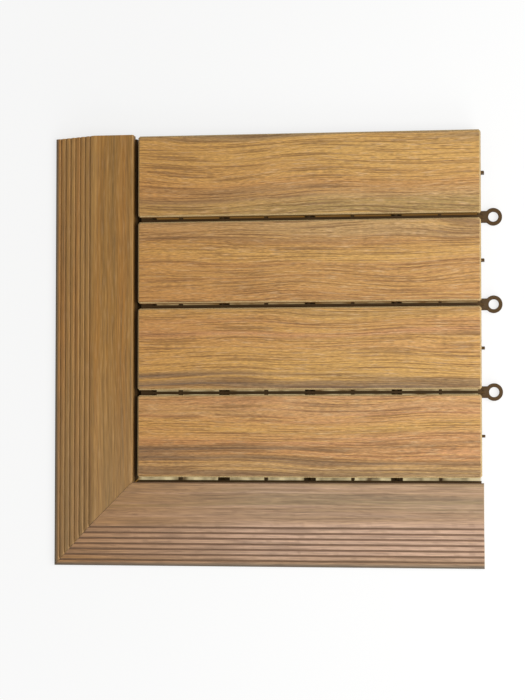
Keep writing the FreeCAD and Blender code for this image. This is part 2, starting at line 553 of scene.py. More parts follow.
@dataclass(frozen=True)
class StreakedComposite:
    """Wood-plastic composite, extruded in streaked tones and pressed or brushed.

    The tones run along the piece in long blurred streaks, and the matt skin keeps a faint sheen
    of its plastic. The hollows of the grain and the grooves take a hollow tone of their own:
    darker, as painted shade, on the slats and the front edge board, and paler on the left edge
    board, as painted light against the shade in its grooves. It reads the place in the piece from
    the attribute "grain", in millimetres, and the hollows from "relief". The left end is tinted
    with a deeper tone, and smoky bands may run in from there; on the slats the deeper left end is
    painted light, standing for the lack of the sheen that pales their right ends. Where "nose"
    marks an outer edge, a dark tone is painted on it as shade. Each size is the length and width
    of a pattern's marks, in millimetres, and each span the part of a pattern over which a pigment
    comes in. The bleed is how far a tone wanders to either side, as a share of the piece's width.
    """

    name: str
    tones: tuple[Pigment, ...]
    width: float
    start: float
    dark: Pigment = Pigment.NUT
    pale: Pigment = Pigment.GOLD
    # The hollow tone and its share are painted shade in the hollows and grooves, and on the left
    # edge board painted light against their shade.
    hollow: Pigment = Pigment.UMBER
    painted_hollow_share: float = 0.56
    dark_share: float = 0.55
    dark_span: tuple[float, float] = (0.79, 1.02)
    pale_share: float = 0.7
    pale_span: tuple[float, float] = (0.76, 0.56)
    fleck: Pigment = Pigment.STRAW
    fleck_share: float = 0.6
    fleck_span: tuple[float, float] = (0.53, 0.72)
    # The end tone deepens the left end; on the slats it is painted light, standing for the lack
    # of the sheen that pales their right ends.
    end: Pigment = Pigment.COPPER
    end_share: float = 0.3
    end_reach: float = 170.0
    # The nose tone is painted shade on the outer edge of an edge board.
    nose: Pigment | None = None
    nose_share: float = 0.85
    smoke: tuple[SmokyBand, ...] = ()
    bleed: float = 0.36
    drift_size: tuple[float, float] = (420.0, 13.0)
    streak_size: tuple[float, float] = (200.0, 1.5)
    cloud_size: tuple[float, float] = (480.0, 9.0)
    cloud_weight: float = 0.55
    fleck_size: tuple[float, float] = (15.0, 1.7)
    fibre_size: tuple[float, float] = (4.5, 0.55)
    fibre_stops: tuple[tuple[float, str], ...] = ((0.3, "#C6C6C6"), (0.68, WHITE))
    fibre_strength: float = 0.35
    fibre_height: float = 0.00012
    pattern_roughness: float = 0.6
    roughness: float = 0.6

    def drawn_out(
        self,
        tree: bpy.types.NodeTree,
        grain: bpy.types.NodeSocket,
        weave: Weave,
        size: tuple[float, float],
        detail: float,
    ) -> bpy.types.NodeSocket:
        """Adds a pattern whose marks are drawn out along the piece.

        Args:
            tree: The material's node tree.
            grain: The place in the piece.
            weave: Which pattern it is.
            size: The length and width of its marks, in millimetres.
            detail: How many finer layers it has.

        Returns:
            The pattern, which is 0.5 in the middle.
        """
        length, width = size
        mapping = add_node(
            tree,
            "Mapping",
            sockets={
                "Vector": grain,
                "Location": (weave.value, weave.value * PATTERN_SKEW, 0.0),
                "Scale": (1 / length, 1 / width, 1 / width),
            },
        )
        pattern = add_node(
            tree,
            "TexNoise",
            sockets={
                "Vector": mapping.outputs[0],
                "Scale": 1.0,
                "Detail": detail,
                "Roughness": self.pattern_roughness,
            },
        )
        return pattern.outputs["Fac"]

    def across(
        self,
        tree: bpy.types.NodeTree,
        grain: bpy.types.NodeSocket,
        out: bpy.types.NodeSocket,
    ) -> bpy.types.NodeSocket:
        """Adds the place across the piece, which drifts so that the tones wander along it.

        Args:
            tree: The material's node tree.
            grain: The place in the piece.
            out: The distance across the piece, in millimetres.

        Returns:
            The place, from about 0 to 1.
        """
        share = add_node(tree, "Math", {"operation": "DIVIDE"}, {0: out, 1: self.width})
        drift = add_node(
            tree,
            "Math",
            {"operation": "MULTIPLY_ADD"},
            {
                0: self.drawn_out(tree, grain, Weave.DRIFT, self.drift_size, detail=2.0),
                1: 2 * self.bleed,
                2: share.outputs[0],
            },
        )
        centred = add_node(
            tree, "Math", {"operation": "SUBTRACT"}, {0: drift.outputs[0], 1: self.bleed}
        )
        return centred.outputs[0]

    def coloured(
        self, tree: bpy.types.NodeTree, grain: bpy.types.NodeSocket
    ) -> bpy.types.NodeSocket:
        """Adds the tones and all that is laid over them.

        Args:
            tree: The material's node tree.
            grain: The place in the piece.

        Returns:
            The colour of the skin, before its fibres shade it.
        """
        place = add_node(tree, "SeparateXYZ", sockets={0: grain})
        along = place.outputs[0]
        across = self.across(tree, grain, place.outputs[1])
        streak = self.drawn_out(tree, grain, Weave.STREAK, self.streak_size, detail=4.0)
        cloud = self.drawn_out(tree, grain, Weave.CLOUD, self.cloud_size, detail=3.0)
        fleck = self.drawn_out(tree, grain, Weave.FLECK, self.fleck_size, detail=1.0)
        gathered = add_node(
            tree,
            "Math",
            {"operation": "MULTIPLY_ADD"},
            {0: cloud, 1: self.cloud_weight, 2: streak},
        )
        left_end = (self.start + self.end_reach, self.start)
        relief = add_node(tree, "Attribute", {"attribute_name": "relief"})
        tints = [
            Tint(gathered.outputs[0], self.dark_span, self.dark_share, self.dark),
            Tint(gathered.outputs[0], self.pale_span, self.pale_share, self.pale),
            Tint(fleck, self.fleck_span, self.fleck_share, self.fleck),
            # The left end's deeper tone, which on the slats is painted light.
            Tint(along, left_end, self.end_share, self.end),
        ]
        for band in self.smoke:
            cover = band.cover(tree, across, along, self.start, streak)
            tints.append(Tint(cover, WHOLE, 1.0, band.pigment))
        # Painted shade: the hollow tone is laid where the grain and the grooves are pressed in,
        # more where they lie deeper.
        tints.append(Tint(relief.outputs["Fac"], WHOLE, self.painted_hollow_share, self.hollow))
        if self.nose:
            nose = add_node(tree, "Attribute", {"attribute_name": "nose"})
            tints.append(Tint(nose.outputs["Fac"], WHOLE, self.nose_share, self.nose))
        last = len(self.tones) - 1
        stops = [(number / last, tone.value) for number, tone in enumerate(self.tones)]
        colour = add_node(tree, "ValToRGB", sockets={0: across}, stops=stops).outputs[0]
        for tint in tints:
            colour = tint.over(tree, colour)
        return colour

    def make(self) -> bpy.types.Material:
        """Builds the material.

        Returns:
            The material, with its nodes.
        """
        material = new_material(self.name)
        tree = material.node_tree
        grain = add_node(tree, "Attribute", {"attribute_name": "grain"}).outputs["Vector"]
        fibre = self.drawn_out(tree, grain, Weave.FIBRE, self.fibre_size, detail=2.0)
        shade = add_node(tree, "ValToRGB", sockets={0: fibre}, stops=self.fibre_stops)
        shaded = add_node(
            tree,
            "Mix",
            {"data_type": "RGBA", "blend_type": "MULTIPLY"},
            {0: 1.0, BELOW: self.coloured(tree, grain), ABOVE: shade.outputs[0]},
        )
        bump = add_node(
            tree,
            "Bump",
            sockets={
                "Height": fibre,
                "Strength": self.fibre_strength,
                "Distance": self.fibre_height,
            },
        )
        skin = add_node(
            tree,
            "BsdfPrincipled",
            sockets={
                "Base Color": shaded.outputs[MIXED],
                "Roughness": self.roughness,
                "IOR": COMPOSITE_IOR,
                "Normal": bump.outputs[0],
            },
        )
        add_node(tree, "OutputMaterial", sockets={0: skin.outputs[0]})
        return material


@dataclass(frozen=True)
class SawnComposite:
    """A saw cut or chamfer through the composite.

    The cut opens the paler core, with short wood fibres as specks, and leaves it rough, so that
    it looks dull and chalky. The real fibres are finer than can be seen, so the specks are
    drawn as coarse as they need to show.
    """

    name: str
    core: Pigment = Pigment.CREAM
    speck: Pigment = Pigment.CORE
    speck_size: float = 0.9
    speck_span: tuple[float, float] = (0.36, 0.58)
    speck_strength: float = 0.4
    speck_height: float = 0.0002
    roughness: float = 0.75

    def make(self) -> bpy.types.Material:
        """Builds the material.

        Returns:
            The material, with its nodes.
        """
        material = new_material(self.name)
        tree = material.node_tree
        grain = add_node(tree, "Attribute", {"attribute_name": "grain"})
        specks = add_node(
            tree,
            "TexNoise",
            sockets={
                "Vector": grain.outputs["Vector"],
                "Scale": 1 / self.speck_size,
                "Detail": 3.0,
            },
        )
        low, high = self.speck_span
        colour = add_node(
            tree,
            "ValToRGB",
            sockets={0: specks.outputs["Fac"]},
            stops=[(low, self.speck.value), (high, self.core.value)],
        )
        bump = add_node(
            tree,
            "Bump",
            sockets={
                "Height": specks.outputs["Fac"],
                "Strength": self.speck_strength,
                "Distance": self.speck_height,
            },
        )
        cut = add_node(
            tree,
            "BsdfPrincipled",
            sockets={
                "Base Color": colour.outputs[0],
                "Roughness": self.roughness,
                "IOR": COMPOSITE_IOR,
                "Normal": bump.outputs[0],
            },
        )
        add_node(tree, "OutputMaterial", sockets={0: cut.outputs[0]})
        return material


@dataclass(frozen=True)
class MouldedPolypropylene:
    """Dark brown polypropylene, injection moulded in a spark-eroded mould.

    The mould leaves a fine even grain that breaks up the plastic's soft waxy shine. The real
    grain is finer than can be seen, so it is drawn as coarse as it needs to show.
    """

    name: str
    colour: str = "#4A361A"
    grit_size: float = 0.35
    grit_strength: float = 0.3
    grit_height: float = 0.0001
    flow_size: float = 28.0
    gloss: tuple[float, float] = (0.5, 0.68)
    ior: float = 1.49
    sheen: float = 0.2

    def make(self) -> bpy.types.Material:
        """Builds the material.

        Returns:
            The material, with its nodes.
        """
        material = new_material(self.name)
        tree = material.node_tree
        place = add_node(tree, "TexCoord")
        grit, flow = (
            add_node(
                tree,
                "TexNoise",
                sockets={"Vector": place.outputs["Object"], "Scale": METRE / size, "Detail": 2.0},
            )
            for size in (self.grit_size, self.flow_size)
        )
        gloss = add_node(
            tree,
            "MapRange",
            sockets={
                "Value": flow.outputs["Fac"],
                "To Min": self.gloss[0],
                "To Max": self.gloss[1],
            },
        )
        bump = add_node(
            tree,
            "Bump",
            sockets={
                "Height": grit.outputs["Fac"],
                "Strength": self.grit_strength,
                "Distance": self.grit_height,
            },
        )
        skin = add_node(
            tree,
            "BsdfPrincipled",
            sockets={
                "Base Color": linear(self.colour),
                "Roughness": gloss.outputs[0],
                "IOR": self.ior,
                "Specular IOR Level": self.sheen,
                "Normal": bump.outputs[0],
            },
        )
        add_node(tree, "OutputMaterial", sockets={0: skin.outputs[0]})
        return material


@dataclass(frozen=True)
class TurnedSteel:
    """Stainless steel, cold headed and rolled, with a soft even shine."""

    name: str
    colour: str = "#BDBAB4"
    mark_size: float = 0.8
    gloss: tuple[float, float] = (0.24, 0.44)

    def make(self) -> bpy.types.Material:
        """Builds the material.

        Returns:
            The material, with its nodes.
        """
        material = new_material(self.name)
        tree = material.node_tree
        place = add_node(tree, "TexCoord")
        marks = add_node(
            tree,
            "TexNoise",
            sockets={
                "Vector": place.outputs["Object"],
                "Scale": METRE / self.mark_size,
                "Detail": 3.0,
            },
        )
        gloss = add_node(
            tree,
            "MapRange",
            sockets={
                "Value": marks.outputs["Fac"],
                "To Min": self.gloss[0],
                "To Max": self.gloss[1],
            },
        )
        skin = add_node(
            tree,
            "BsdfPrincipled",
            sockets={
                "Base Color": linear(self.colour),
                "Metallic": 1.0,
                "Roughness": gloss.outputs[0],
            },
        )
        add_node(tree, "OutputMaterial", sockets={0: skin.outputs[0]})
        return material


@dataclass(frozen=True)
class PressedGrain:
    """The wood grain that a roller presses into a composite face, in millimetres.

    The lines wander over a long distance and ripple a little over a short one. They are
    stronger in some patches than in others, and fine pores lie between them. The sizes of the
    patches and pores are shares of a line's length and width.
    """

    depth: float
    line_width: float
    line_length: float
    wander: float
    wander_length: float
    start: float
    wander_width: float = 30.0
    ripple_length: float = 34.0
    ripple_width: float = 9.0
    ripple_share: float = 0.09
    strength: float = 0.82
    strength_swing: float = 1.1
    least_strength: float = 0.15
    patch_size: tuple[float, float] = (0.8, 5.0)
    line_span: tuple[float, float] = (0.0, 0.38)
    pore_size: tuple[float, float] = (0.12, 0.7)
    pore_span: tuple[float, float] = (0.08, 0.42)
    pore_share: float = 0.6

    def strayed(self, along: float, across: float) -> float:
        """Finds where a line of the grain that passes a place would be if it ran straight.

        Args:
            along: The place along the piece.
            across: The place across the piece.

        Returns:
            The line's own place across the piece.
        """
        far = Vector((along / self.wander_length, across / self.wander_width, self.start))
        turn = self.start + Press.RIPPLE.value
        near = Vector((along / self.ripple_length, across / self.ripple_width, turn))
        return across + self.wander * (noise.noise(far) + self.ripple_share * noise.noise(near))

    def drawn_out(
        self, along: float, place: float, press: Press, size: tuple[float, float] = (1.0, 1.0)
    ) -> float:
        """Noise whose marks are drawn out along the grain.

        Args:
            along: The place along the piece.
            place: The place across the piece, with the grain straightened.
            press: Which pattern it is.
            size: The length and width of its marks, as shares of a line's.

        Returns:
            The strength of the pattern, from about -0.6 to 0.6.
        """
        length, width = size[0] * self.line_length, size[1] * self.line_width
        return noise.noise(Vector((along / length, place / width, self.start + press.value)))

    def hollow(self, along: float, across: float) -> float:
        """Finds how far the grain is pressed in at a place.

        Args:
            along: The place along the piece.
            across: The place across the piece.

        Returns:
            The share of the grain's depth, from 0 to 1.
        """
        place = self.strayed(along, across)
        patch = self.drawn_out(along, place, Press.PATCH, self.patch_size)
        strength = max(self.least_strength, self.strength + self.strength_swing * patch)
        line = eased(self.drawn_out(along, place, Press.LINE), *self.line_span)
        pore = eased(self.drawn_out(along, place, Press.PORE, self.pore_size), *self.pore_span)
        return min(1.0, strength * (line + self.pore_share * pore))


@dataclass
class Slat:
    """A composite slat with a pressed face, sawn chamfers and ends, and a grooved underside.

    Sizes are in millimetres. The number sets its grain and streaks apart from the others'.
    """

    node: str
    number: int
    tones: tuple[Pigment, ...]
    smoke: tuple[SmokyBand, ...]
    chamfer: float = 1.2
    corner_chamfer: float = 1.5
    relief_places: tuple[float, ...] = (-26.0, -13.0, 13.0, 26.0)
    relief_width: float = 6.0
    relief_depth: float = 1.2
    screw_inset: float = 35.25
    pilot: PilotHole = PilotHole()
    step_along: float = 1.4
    step_across: float = 0.3
    grain_turn: float = 17.0
    grain: PressedGrain = field(init=False)

    def __post_init__(self) -> None:
        """Takes the slat's place from the frame and starts its grain."""
        self.low, self.high = cad_corners(self.node)
        self.middle = (self.low + self.high) / 2
        self.grain = PressedGrain(
            depth=0.4,
            line_width=1.1,
            line_length=62.0,
            wander=7.0,
            wander_length=120.0,
            start=self.grain_turn * self.number,
        )

    def section(self) -> list[Vector]:
        """Draws the outline of the left end, with the grooves of the underside.

        Returns:
            The corners of the outline.
        """
        low, high = self.low, self.high
        points = [(high.y, low.z), (high.y, high.z), (low.y, high.z), (low.y, low.z)]
        for line in self.relief_places:
            near = self.middle.y + line - self.relief_width / 2
            far = near + self.relief_width
            floor = low.z + self.relief_depth
            points += [(near, low.z), (near, floor), (far, floor), (far, low.z)]
        return [Vector((low.x, y, z)) for y, z in points]

    def block(self) -> bmesh.types.BMesh:
        """Makes the slat with its chamfers and pilot holes, before its face is pressed.

        Returns:
            The slat, with the skin of each face as its material number.
        """
        mesh = extruded(self.section(), Vector((self.high.x - self.low.x, 0, 0)))
        seat = next(
            face
            for face in mesh.faces
            if face.normal.z < -LEVEL
            and abs(face.calc_center_median().y - self.middle.y) < TINY
            and face.calc_center_median().z < self.low.z + TINY
        )
        ends = (self.low.x + self.screw_inset, self.high.x - self.screw_inset)
        self.pilot.drill(mesh, seat, [Vector((x, self.middle.y, self.low.z)) for x in ends])
        corners = [
            edge
            for edge in mesh.edges
            if all(
                min(abs(v.co.x - self.low.x), abs(v.co.x - self.high.x)) < TINY
                and min(abs(v.co.y - self.low.y), abs(v.co.y - self.high.y)) < TINY
                for v in edge.verts
            )
            and abs(edge.verts[0].co.z - edge.verts[1].co.z) > CLEAR
        ]
        chamfered(mesh, corners, self.corner_chamfer)
        rim = [e for e in mesh.edges if all(abs(v.co.z - self.high.z) < TINY for v in e.verts)]
        chamfered(mesh, rim, self.chamfer)
        mesh.normal_update()
        for face in mesh.faces:
            end = abs(face.normal.z) < UPRIGHT and abs(face.normal.x) > MAINLY
            slope = UPRIGHT < face.normal.z < LEVEL
            face.material_index = (Skin.SAWN if end or slope else Skin.PRESSED).value
        return mesh

    def press(self, mesh: bmesh.types.BMesh) -> None:
        """Presses the grain into the walking face and keeps its rim on the chamfers.

        Args:
            mesh: The slat, whose vertices get their "grain" and "relief".
        """
        top = [face for face in mesh.faces if face.normal.z > UPRIGHT]
        cut_across(mesh, top, Axis.ACROSS, evenly(self.low.y, self.high.y, self.step_across))
        top = [face for face in mesh.faces if face.normal.z > UPRIGHT]
        cut_across(mesh, top, Axis.ALONG, evenly(self.low.x, self.high.x, self.step_along))
        place_layer = mesh.verts.layers.float_vector.new("grain")
        relief_layer = mesh.verts.layers.float.new("relief")
        for vert in mesh.verts:
            along = vert.co.x - self.low.x
            across = vert.co.y - self.low.y
            place = along + PATTERN_STEP * self.number
            vert[place_layer] = Vector((place, self.grain.strayed(along, across), vert.co.z))
            if vert.co.z < self.high.z - TINY:
                continue
            hollow = self.grain.hollow(along, across)
            slopes = [f.normal for f in vert.link_faces if UPRIGHT < f.normal.z < LEVEL]
            outward = sum(slopes, Vector((0, 0, 0)))
            outward.z = 0
            vert[relief_layer] = hollow
            if outward.length > TINY:
                vert.co += outward.normalized() * (hollow * self.grain.depth)
            vert.co.z -= hollow * self.grain.depth

    def build(self, sawn: bpy.types.Material) -> bpy.types.Object:
        """Makes the slat.

        Args:
            sawn: The finish of its cuts.

        Returns:
            The finished piece.
        """
        mesh = self.block()
        self.press(mesh)
        for face in mesh.faces:
            face.smooth = face.normal.z > MAINLY and face.material_index == Skin.PRESSED.value
        pressed = StreakedComposite(
            name=f"pressed_composite_{self.node}",
            tones=self.tones,
            width=self.high.y - self.low.y,
            start=PATTERN_STEP * self.number,
            smoke=self.smoke,
        ).make()
        return finished(mesh, f"{self.node}_pressed", self.node, [pressed, sawn])


@dataclass
class EdgeBoard:
    """A composite edge board: a flat band, a ramp of rounded ribs and a mitred end.

    Sizes are in millimetres. The board is made as it lies on the front side, with its length
    along x, and is turned to its own side at the end. The number sets its grain and streaks
    apart from the other pieces'. A groove takes the painted hollow tone from just under the ramp
    down to a share of its depth: painted shade on the front board, and painted light against the
    groove's shade on the left one. The hollows of the grain take half as much of that tone as a
    groove, and are half as deep on the ramp as on the band.
    """

    node: str
    side: Side
    number: int
    tones: tuple[Pigment, ...]
    dark: Pigment
    pale: Pigment
    hollow: Pigment
    painted_hollow_share: float
    end: Pigment
    end_share: float
    end_reach: float = 190.0
    band_width: float = 34.0
    chamfer: float = 1.2
    seat_height: float = 11.0
    nose_height: float = 4.5
    nose_width: float = 5.2
    nose_rounding: float = 1.5
    nose_margin: float = 0.5
    groove_count: int = 7
    groove_width: float = 2.3
    groove_floor: float = 1.2
    groove_depth: float = 1.3
    groove_rounding: float = 0.32
    groove_paint_start: float = 0.08
    groove_paint_full: float = 0.75
    leg_width: float = 15.0
    hollow_width: float = 43.25
    mitre_gap: float = 0.3
    screw_line: float = 22.0
    screw_places: tuple[float, ...] = (-112.5, 112.5)
    pilot: PilotHole = PilotHole()
    step_along: float = 2.4
    step_across: float = 0.7
    sharp_angle: float = 38.0
    grain_start: float = 90.0
    grain_turn: float = 13.0
    grain_paint_share: float = 0.5
    ramp_grain: float = 0.5
    grain: PressedGrain = field(init=False)

    def __post_init__(self) -> None:
        """Takes the board's place from the frame, as it lies on the front side."""
        low, high = cad_corners(self.node)
        if self.side is Side.LEFT:
            low, high = low.yxz, high.yxz
        self.low, self.high = low, high
        self.width = high.y - low.y
        self.run = self.width - self.band_width
        self.drop = high.z - self.nose_height
        self.slope = math.hypot(self.run, self.drop)
        self.grain = PressedGrain(
            depth=0.16,
            line_width=1.5,
            line_length=60.0,
            wander=2.2,
            wander_length=110.0,
            start=self.grain_start + self.grain_turn * self.number,
        )

    def on_ramp(self, distance: float, depth: float) -> tuple[float, float]:
        """Finds a place on the ramp.

        Args:
            distance: How far down the slope from the flat band.
            depth: How far in from the surface.

        Returns:
            The distance out from the inner edge, and the height.
        """
        return (
            self.band_width + (distance * self.run - depth * self.drop) / self.slope,
            self.high.z - (distance * self.drop + depth * self.run) / self.slope,
        )

    def section(self) -> list[Vector]:
        """Draws the outline of the mitred end, before the mitre is cut.

        Returns:
            The corners of the outline.
        """
        pitch = (self.run - self.nose_width) / self.groove_count * self.slope / self.run
        points = [
            (0, self.seat_height),
            (0, self.high.z - self.chamfer),
            (self.chamfer, self.high.z),
            self.on_ramp(0, 0),
        ]
        for number in range(1, self.groove_count + 1):
            middle = number * pitch
            points += [
                self.on_ramp(middle - self.groove_width / 2, 0),
                self.on_ramp(middle - self.groove_floor / 2, self.groove_depth),
                self.on_ramp(middle + self.groove_floor / 2, self.groove_depth),
                self.on_ramp(middle + self.groove_width / 2, 0),
            ]
        points += [
            self.on_ramp(self.slope, 0),
            (self.width, 0),
            (self.width - self.leg_width, 0),
            (self.hollow_width, self.seat_height),
        ]
        return [Vector((self.low.x, self.high.y - out, height)) for out, height in points]

    def is_rib(self, edge: bmesh.types.BMEdge) -> bool:
        """Tells whether an edge is the upper edge of a rib between two grooves.

        Args:
            edge: An edge of the board before its mitre is cut.

        Returns:
            Whether it runs along the ramp and lies over the nose, with both its faces looking up.
        """
        near, far = (vert.co for vert in edge.verts)
        return (
            abs(near.x - far.x) > CLEAR
            and self.low.y + CLEAR < near.y < self.high.y - self.band_width - CLEAR
            and near.z > self.nose_height
            and all(face.normal.z > 0 for face in edge.link_faces)
        )

    def mitre(self, mesh: bmesh.types.BMesh) -> None:
        """Cuts the mitre and closes the cut.

        Args:
            mesh: The board, with its full length.
        """
        cut = bmesh.ops.bisect_plane(
            mesh,
            geom=[*mesh.verts, *mesh.edges, *mesh.faces],
            dist=TINY,
            plane_co=Vector((self.mitre_gap / math.sqrt(2), 0, 0)),
            plane_no=Vector((1, -1, 0)).normalized(),
            clear_inner=True,
        )
        bmesh.ops.edgeloop_fill(mesh, edges=only(cut["geom_cut"], bmesh.types.BMEdge))
        bmesh.ops.recalc_face_normals(mesh, faces=mesh.faces)

    def block(self) -> bmesh.types.BMesh:
        """Makes the board with its ribs rounded and its mitre cut, before it is brushed.

        Returns:
            The board, with the skin of each face as its material number.
        """
        mesh = extruded(self.section(), Vector((self.high.x - self.low.x, 0, 0)))
        seat = next(
            face
            for face in mesh.faces
            if face.normal.z < -LEVEL
            and abs(face.calc_center_median().z - self.seat_height) < TINY
        )
        line = self.high.y - self.screw_line
        places = [Vector((x, line, self.seat_height)) for x in self.screw_places]
        self.pilot.drill(mesh, seat, places)
        ribs = [edge for edge in mesh.edges if self.is_rib(edge)]
        chamfered(mesh, ribs, self.groove_rounding, segments=2)
        nose = [
            edge
            for edge in mesh.edges
            if all(vert.co.y < self.low.y + TINY for vert in edge.verts)
            and all(abs(vert.co.z - self.nose_height) < TINY for vert in edge.verts)
        ]
        chamfered(mesh, nose, self.nose_rounding, segments=3)
        mesh.normal_update()
        self.mitre(mesh)
        mesh.normal_update()
        for face in mesh.faces:
            end = abs(face.normal.x) > MAINLY
            face.material_index = (Skin.SAWN if end else Skin.PRESSED).value
        return mesh

    def brush(self, mesh: bmesh.types.BMesh) -> None:
        """Brushes fine lines into the flat band and lets the ribs waver a little.

        Args:
            mesh: The board, whose vertices get their "grain", "relief" and "nose".
        """
        shown = [face for face in mesh.faces if face.normal.z > SHOWN]
        cut_across(mesh, shown, Axis.ALONG, evenly(self.low.x, self.high.x, self.step_along))
        band = [face for face in mesh.faces if face.normal.z > FLAT]
        band_end = self.high.y - self.band_width
        lines = evenly(band_end, self.high.y - self.chamfer, self.step_across)
        cut_across(mesh, band, Axis.ACROSS, lines)
        place_layer = mesh.verts.layers.float_vector.new("grain")
        relief_layer = mesh.verts.layers.float.new("relief")
        nose_layer = mesh.verts.layers.float.new("nose")
        mesh.normal_update()
        fall = self.drop / self.run
        nose_start = self.width - self.nose_rounding
        for vert in mesh.verts:
            along = vert.co.x - self.low.x
            out = self.high.y - vert.co.y
            place = along + PATTERN_STEP * self.number
            vert[place_layer] = Vector((place, self.grain.strayed(along, out), vert.co.z))
            # Painted shade: the outer edge of the nose is marked for the dark nose tone.
            vert[nose_layer] = eased(out, self.width - 2 * self.nose_rounding, nose_start)
            if not any(face.normal.z > SHOWN for face in vert.link_faces):
                continue
            below = self.high.z - max(out - self.band_width, 0) * fall - vert.co.z
            # Painted shade: a groove takes the hollow tone more the deeper it lies under the
            # ramp, and the grain's hollows take a share of it.
            sunk = eased(below, self.groove_paint_start, self.groove_paint_full * self.groove_depth)
            hollow = self.grain.hollow(along, out) * (1 - sunk)
            vert[relief_layer] = max(hollow * self.grain_paint_share, sunk)
            if vert.co.z > self.high.z - TINY:
                vert.co.z -= hollow * self.grain.depth
            elif self.band_width < out < nose_start - self.nose_margin:
                vert.co.z -= hollow * self.grain.depth * self.ramp_grain

    def build(self, sawn: bpy.types.Material) -> bpy.types.Object:
        """Makes the board and turns it to its side.

        Args:
            sawn: The finish of its cuts.

        Returns:
            The finished piece.
        """
        mesh = self.block()
        self.brush(mesh)
        soften(mesh, self.sharp_angle)
        if self.side is Side.LEFT:
            swap = Matrix(((0, 1, 0), (1, 0, 0), (0, 0, 1)))
            bmesh.ops.transform(mesh, matrix=swap.to_4x4(), verts=mesh.verts)
            bmesh.ops.reverse_faces(mesh, faces=mesh.faces)
        brushed = StreakedComposite(
            name=f"brushed_composite_{self.side.value}",
            tones=self.tones,
            width=self.width,
            start=PATTERN_STEP * self.number,
            dark=self.dark,
            dark_share=0.62,
            pale=self.pale,
            hollow=self.hollow,
            painted_hollow_share=self.painted_hollow_share,
            fleck_share=0.15,
            end=self.end,
            end_share=self.end_share,
            end_reach=self.end_reach,
            nose=Pigment.NOSE_SHADE,
            bleed=0.3,
            streak_size=(200.0, 2.4),
            fibre_size=(24.0, 0.55),
        ).make()
        return finished(mesh, f"{self.node}_grooved", self.node, [brushed, sawn])


